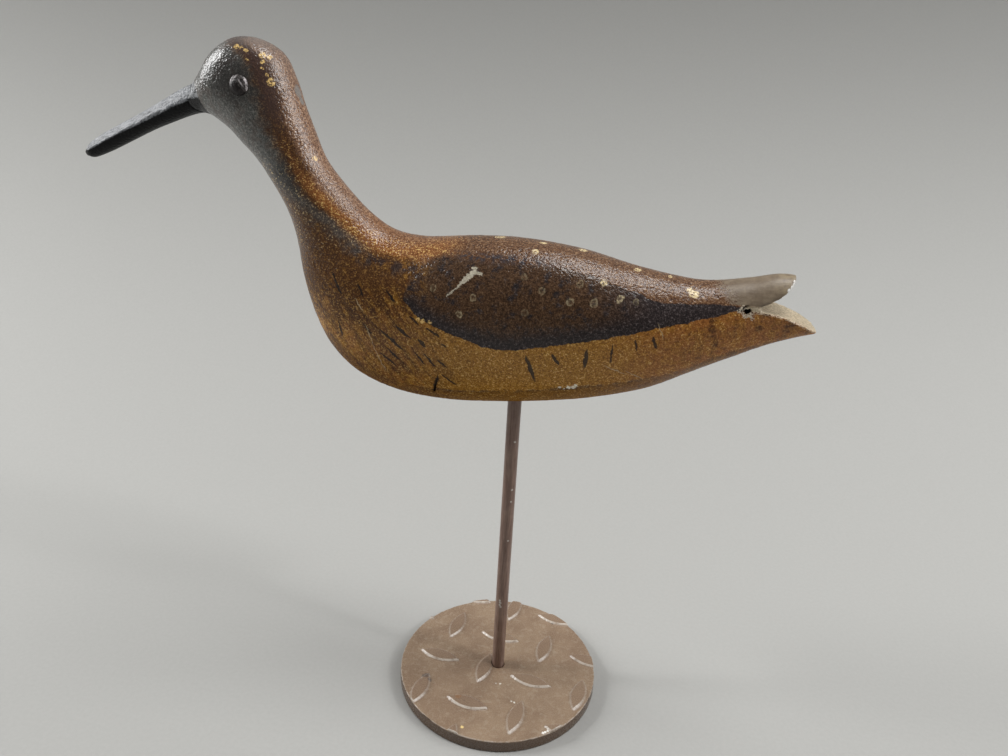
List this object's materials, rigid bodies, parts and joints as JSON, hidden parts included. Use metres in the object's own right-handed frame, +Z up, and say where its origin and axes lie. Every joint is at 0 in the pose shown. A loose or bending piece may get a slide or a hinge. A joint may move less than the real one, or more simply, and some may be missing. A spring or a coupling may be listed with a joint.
{
  "type": "shorebird decoy on a rod stand",
  "caption": "Carved and painted wooden shorebird with a long drooping bill, held up by a thin upright rod in a round plate of raised-pattern floor steel.",
  "frame": {"origin": "centre of the base plate's underside, on the rod's axis", "axes": "+Z up along the rod, -X the way the bird faces, -Y its left side"},
  "size_m": [0.3258, 0.1016, 0.3043],
  "materials": {
    "painted_wood": "thick, worn, pebbled old paint with a low sheen",
    "bill_black": "worn satin black paint",
    "eye_dark": "glossy, near black, not see-through",
    "rod_paint": "brown satin paint with small chips",
    "plate_paint": "taupe satin paint, worn at the edges, with small rust spots"
  },
  "bodies": {
    "root": {"carved_bird": "painted_wood", "bill": "bill_black", "eye_left": "eye_dark", "eye_right": "eye_dark", "rod": "rod_paint", "base_plate": "plate_paint"}
  },
  "joints": []
}
